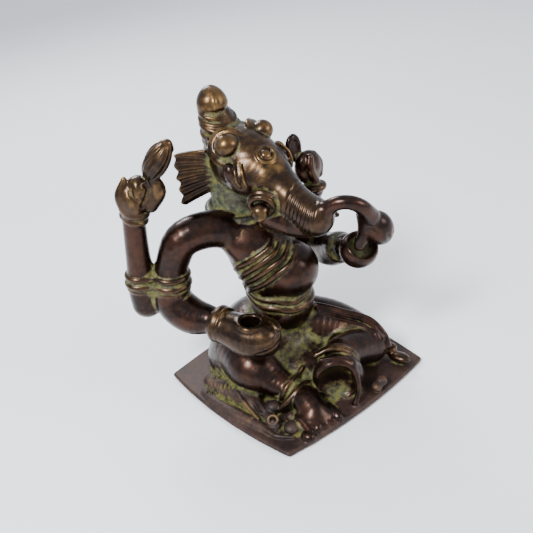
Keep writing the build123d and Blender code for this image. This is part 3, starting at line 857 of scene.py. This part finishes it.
def weather(field, owner, gap):
    """The fields that colour the metal, and the small dents that its casting left."""
    def of_pieces(attribute, reach):
        table = np.array([getattr(piece, attribute) for piece in PIECES], np.float32)
        return blurred(table[owner], reach)

    reach = 3
    rough = of_pieces("rough", reach)
    worn = of_pieces("worn", reach)
    patina = of_pieces("patina", reach)
    for middle, size, amount in WORN_REGIONS:
        worn += amount * region(middle, size)
    for middle, size, amount in GREEN_REGIONS:
        patina += amount * region(middle, size)
    fine, broad = lattice(FINE_SPACING, FINE_SEED), lattice(BROAD_SPACING, BROAD_SEED)
    dented = field + (0.03 + 0.02 * broad) + rough * 0.26 * (0.6 + 0.7 * fine + 0.35 * broad)
    z = AXES[2][None, None, :]
    dented = np.maximum(dented, -z).astype(np.float32)
    solid = np.clip(0.5 - dented / STEP * 0.5, 0, 1)
    notes = {
        "pocket": blurred(solid, round(POCKET_REACH / STEP)) - 0.5,
        "hollow": blurred(solid, round(HOLLOW_REACH / STEP)) - 0.5,
        "seam": np.clip(1.0 - gap / SEAM_WIDTH, 0, 1),
        "patina": np.clip(patina, 0, MOST_NOTE),
        "worn": np.clip(worn, 0, MOST_NOTE),
        "grain": rough,
    }
    return dented, notes


def at_places(values, places):
    """A field between its samples."""
    first = np.clip(places.astype(int), 0, np.array(GRID_SHAPE) - 2)
    share = places - first
    result = np.zeros(len(places))
    for corner in range(8):
        step = [(corner >> n) & 1 for n in range(3)]
        weight = np.prod([share[:, n] if step[n] else 1 - share[:, n] for n in range(3)], axis=0)
        result += weight * values[tuple((first + step).T)]
    return result


def corners_round(axis, edge):
    """The four cells round each grid edge, anticlockwise as seen from the edge's far end."""
    one, two = ((1, 2), (2, 0), (0, 1))[axis]
    cells = []
    for a, b in ((-1, -1), (0, -1), (0, 0), (-1, 0)):
        cell = edge.copy()
        cell[:, one] += a
        cell[:, two] += b
        cells.append((cell[:, 0] * GRID_SHAPE[1] + cell[:, 1]) * GRID_SHAPE[2] + cell[:, 2])
    return np.stack(cells, axis=1)


def skin_of(field, label):
    """Vertices where the labels change, and quads with the label on either side of each."""
    cells, spots, outer, below, above = [], [], [], [], []
    for axis in range(3):
        near = [slice(1, -1)] * 3
        near[axis] = slice(0, -1)
        far = [slice(1, -1)] * 3
        far[axis] = slice(1, None)
        low_label, high_label = label[tuple(near)], label[tuple(far)]
        edge = np.argwhere(low_label != high_label)
        a, b = low_label[tuple(edge.T)], high_label[tuple(edge.T)]
        edge = edge + [0 if n == axis else 1 for n in range(3)]
        other = edge + [1 if n == axis else 0 for n in range(3)]
        fa, fb = field[tuple(edge.T)], field[tuple(other.T)]
        outside = (a == 0) | (b == 0)
        share = np.where(outside, fa / np.where(outside, fa - fb, 1), 0.5)
        spot = edge.astype(float)
        spot[:, axis] += np.clip(share, 0.02, 0.98)
        cells.append(corners_round(axis, edge))
        spots.append(spot)
        outer.append(outside)
        below.append(a)
        above.append(b)
    cells, spots, outer = np.concatenate(cells), np.concatenate(spots), np.concatenate(outer)
    below, above = np.concatenate(below), np.concatenate(above)
    unique, quads = np.unique(cells, return_inverse=True)
    quads = quads.reshape(cells.shape)
    weight = np.repeat(np.where(outer, 1.0, TINY), 4)
    total = np.bincount(quads.ravel(), weight, len(unique))
    places = [np.bincount(quads.ravel(), weight * np.repeat(spots[:, n], 4), len(unique)) / total
              for n in range(3)]
    return np.stack(places, axis=1), quads, below, above, total > 0.5


def piece_mesh(name, places, quads, normals, notes):
    used, faces = np.unique(quads, return_inverse=True)
    faces = faces.reshape(quads.shape)
    mesh = bpy.data.meshes.new(name)
    mesh.vertices.add(len(used))
    mesh.vertices.foreach_set("co", (places[used] * MM).astype(np.float32).ravel())
    mesh.loops.add(faces.size)
    mesh.loops.foreach_set("vertex_index", faces.ravel().astype(np.int32))
    mesh.polygons.add(len(faces))
    mesh.polygons.foreach_set("loop_start", np.arange(0, faces.size, 4, dtype=np.int32))
    mesh.update(calc_edges=True)
    mesh.validate()
    for key, values in notes.items():
        attribute = mesh.attributes.new(key, "FLOAT", "POINT")
        attribute.data.foreach_set("value", values[used].astype(np.float32))
    mesh.polygons.foreach_set("use_smooth", np.ones(len(mesh.polygons), bool))
    mesh.normals_split_custom_set_from_vertices(normals[used].tolist())
    return mesh


def cast():
    """Makes one closed mesh of every piece."""
    field, owner, gap = gather()
    field, notes = weather(field, owner, gap)
    label = np.where(field > 0, 0, owner + 1)
    places, quads, below, above, surface = skin_of(field, label)
    slopes = [at_places(slope, places) for slope in np.gradient(field)]
    steep = np.sqrt(sum(slope ** 2 for slope in slopes)) + TINY
    normals = np.stack([slope / steep for slope in slopes], axis=1)
    off = np.clip(at_places(field, places) / steep, -MOST_SHIFT, MOST_SHIFT) * surface
    places = places - normals * off[:, None]
    samples = {key: at_places(values, places) for key, values in notes.items()}
    spots = np.clip(GRID_LOW + places * STEP, BOX_LOW + BOX_INSET, BOX_HIGH - BOX_INSET)
    materials = make_materials()
    for number, piece in enumerate(PIECES):
        mine = np.concatenate([quads[below == number + 1], quads[above == number + 1][:, ::-1]])
        mesh = piece_mesh("bronze_" + piece.name, spots, mine, normals, samples)
        mesh.materials.append(materials[piece.slot])
        shown = show("bronze_" + piece.name, mesh)
        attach(shown, "root")
        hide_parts(piece.name)


# --- bronze
def settle(node, values):
    for key, value in values.items():
        node.inputs[key].default_value = value


class Nodes:
    """Short ways to lay out a material."""

    def __init__(self, name):
        self.material = bpy.data.materials.new(name)
        self.material.use_nodes = True
        self.tree = self.material.node_tree
        self.shader = self.tree.nodes["Principled BSDF"]
        self.place = self.tree.nodes.new("ShaderNodeTexCoord").outputs["Object"]

    def link(self, source, socket):
        self.tree.links.new(source, socket)

    def note(self, name):
        node = self.tree.nodes.new("ShaderNodeAttribute")
        node.attribute_name = name
        return node.outputs["Fac"]

    def math(self, kind, a, b=0.0, clamp=False):
        node = self.tree.nodes.new("ShaderNodeMath")
        node.operation = kind
        node.use_clamp = clamp
        for socket, value in zip(node.inputs, (a, b)):
            if isinstance(value, (int, float)):
                socket.default_value = value
            else:
                self.link(value, socket)
        return node.outputs[0]

    def add(self, a, b, clamp=False):
        return self.math("ADD", a, b, clamp)

    def times(self, a, b):
        return self.math("MULTIPLY", a, b)

    def ramp(self, value, low, high, to_low=0.0, to_high=1.0):
        node = self.tree.nodes.new("ShaderNodeMapRange")
        node.interpolation_type = "SMOOTHSTEP"
        self.link(value, node.inputs["Value"])
        settle(node, {"From Min": low, "From Max": high, "To Min": to_low, "To Max": to_high})
        return node.outputs[0]

    def noise(self, scale, detail=3.0, rough=0.55):
        node = self.tree.nodes.new("ShaderNodeTexNoise")
        settle(node, {"Scale": scale, "Detail": detail, "Roughness": rough})
        self.link(self.place, node.inputs["Vector"])
        return node.outputs["Fac"]

    def colour(self, share, low, high):
        node = self.tree.nodes.new("ShaderNodeMix")
        node.data_type = "RGBA"
        self.link(share, node.inputs[0])
        for socket, value in ((node.inputs[6], low), (node.inputs[7], high)):
            if isinstance(value, tuple):
                socket.default_value = (*value, 1.0)
            else:
                self.link(value, socket)
        return node.outputs[2]


RUBBED = (0.27, 0.150, 0.048)
EARTH = (0.030, 0.030, 0.009), (0.118, 0.105, 0.022)
STONE = (0.024, 0.027, 0.013), (0.090, 0.092, 0.042)
BUMP_DEPTH = 0.0005


def bronze(name, dark, warm, polish, green=0.0, gold=0.0, metal=0.9):
    """Old bronze: dark skin, rubbed high spots and dull patina where nothing rubs it."""
    n = Nodes(name)
    cloud, speck, grit = n.noise(160.0, 4.0), n.noise(700.0, 4.0), n.noise(2200.0, 2.0)
    pocket, hollow, seam = n.note("pocket"), n.note("hollow"), n.note("seam")
    patchy = n.add(n.times(cloud, 0.7), n.times(speck, 0.5))
    skin = n.colour(n.ramp(patchy, 0.45, 0.75), dark, warm)

    rubbed = n.add(n.add(n.note("worn"), gold), n.times(pocket, -1.6))
    rubbed = n.add(rubbed, n.times(n.math("SUBTRACT", patchy, 0.6), 1.5))
    rubbed = n.ramp(rubbed, 0.45, 1.45)
    skin = n.colour(rubbed, skin, RUBBED)

    dull = n.add(n.note("patina"), green)
    dull = n.add(dull, n.times(n.add(pocket, n.times(hollow, 0.6)), 3.2))
    dull = n.add(dull, n.times(seam, 0.28))
    dull = n.add(dull, n.times(n.math("SUBTRACT", patchy, 0.6), 1.6))
    dull = n.ramp(dull, 0.42, 0.95)
    earth = n.colour(n.ramp(speck, 0.35, 0.65), *EARTH)
    stone = n.colour(n.ramp(speck, 0.35, 0.65), *STONE)
    earth = n.colour(n.ramp(n.note("grain"), 0.45, 0.9), earth, stone)
    n.link(n.colour(dull, skin, earth), n.shader.inputs["Base Color"])

    n.link(n.math("SUBTRACT", metal, n.times(dull, metal * 0.9)), n.shader.inputs["Metallic"])
    shine = n.add(n.times(patchy, 0.22), polish - 0.12)
    shine = n.add(shine, n.times(dull, 0.46), clamp=True)
    n.link(shine, n.shader.inputs["Roughness"])
    coat = 0.18 if metal > 0.8 else 0.02
    settle(n.shader, {"Coat Weight": coat, "Coat Roughness": 0.22})

    height = n.add(n.times(speck, 0.6), n.times(grit, 0.25))
    height = n.times(height, n.add(n.times(dull, 1.2), 0.35))
    bump = n.tree.nodes.new("ShaderNodeBump")
    settle(bump, {"Strength": 0.45, "Distance": BUMP_DEPTH})
    n.link(height, bump.inputs["Height"])
    n.link(bump.outputs["Normal"], n.shader.inputs["Normal"])
    return n.material


def make_materials():
    brown, red = (0.013, 0.0068, 0.0050), (0.044, 0.0165, 0.0085)
    looks = {
        "body_bronze": (brown, red, 0.31),
        "limb_bronze": (brown, red, 0.29),
        "worn_bronze": ((0.018, 0.0100, 0.0060), (0.058, 0.029, 0.0115), 0.29, 0.0, 0.04),
        "thread_bronze": ((0.022, 0.0125, 0.0068), (0.064, 0.032, 0.0130), 0.33, 0.06),
        "rough_bronze": ((0.040, 0.034, 0.024), (0.085, 0.072, 0.046), 0.50, 0.1),
        "plate_bronze": ((0.022, 0.0125, 0.010), (0.055, 0.027, 0.018), 0.56, 0.0, 0.0, 0.55),
    }
    return {name: bronze(name, *look) for name, look in looks.items()}


# --- floor and lights
FLOOR_HALF, FLOOR_FRONT, FLOOR_BACK, FLOOR_TOP = 1.2, -0.6, 1.4, -0.0002


def add_floor():
    mesh = bpy.data.meshes.new("floor")
    rows = [(x, y, FLOOR_TOP) for y in (FLOOR_FRONT, FLOOR_BACK)
            for x in (-FLOOR_HALF, FLOOR_HALF)]
    mesh.from_pydata(rows, [], [(0, 1, 3, 2)])
    n = Nodes("floor")
    n.link(n.colour(n.noise(30.0), (0.90, 0.89, 0.89), (0.93, 0.92, 0.92)),
           n.shader.inputs["Base Color"])
    n.shader.inputs["Roughness"].default_value = 0.7
    mesh.materials.append(n.material)
    floor = show("floor", mesh)


def add_light(name, place, target, size, power, colour):
    lamp = bpy.data.lights.new(name, "AREA")
    lamp.shape = "RECTANGLE"
    lamp.size, lamp.size_y = size
    lamp.energy = power
    lamp.color = colour
    light = show(name, lamp)
    light.location = place
    light.rotation_euler = (Vector(target) - Vector(place)).to_track_quat("-Z", "Y").to_euler()


def add_lights():
    world = bpy.data.worlds.new("studio")
    bpy.context.scene.world = world
    world.use_nodes = True
    settle(world.node_tree.nodes["Background"],
           {"Color": (0.86, 0.90, 1.0, 1.0), "Strength": 0.98})
    middle = (0.0, 0.0, 0.04)
    add_light("key", (-0.30, -0.08, 0.36), middle, (0.09, 0.12), 3.4, (0.90, 0.95, 1.0))
    add_light("fill", (0.22, -0.34, 0.22), middle, (0.20, 0.14), 0.9, (1.0, 0.97, 0.92))
    add_light("rim", (0.10, 0.34, 0.30), middle, (0.16, 0.10), 1.3, (0.90, 0.95, 1.0))


# --- the whole scene
make_plate()
make_body()
make_threads()
make_legs()
make_head()
make_right_arms()
make_left_arms()
cast()
add_camera()
add_floor()
add_lights()
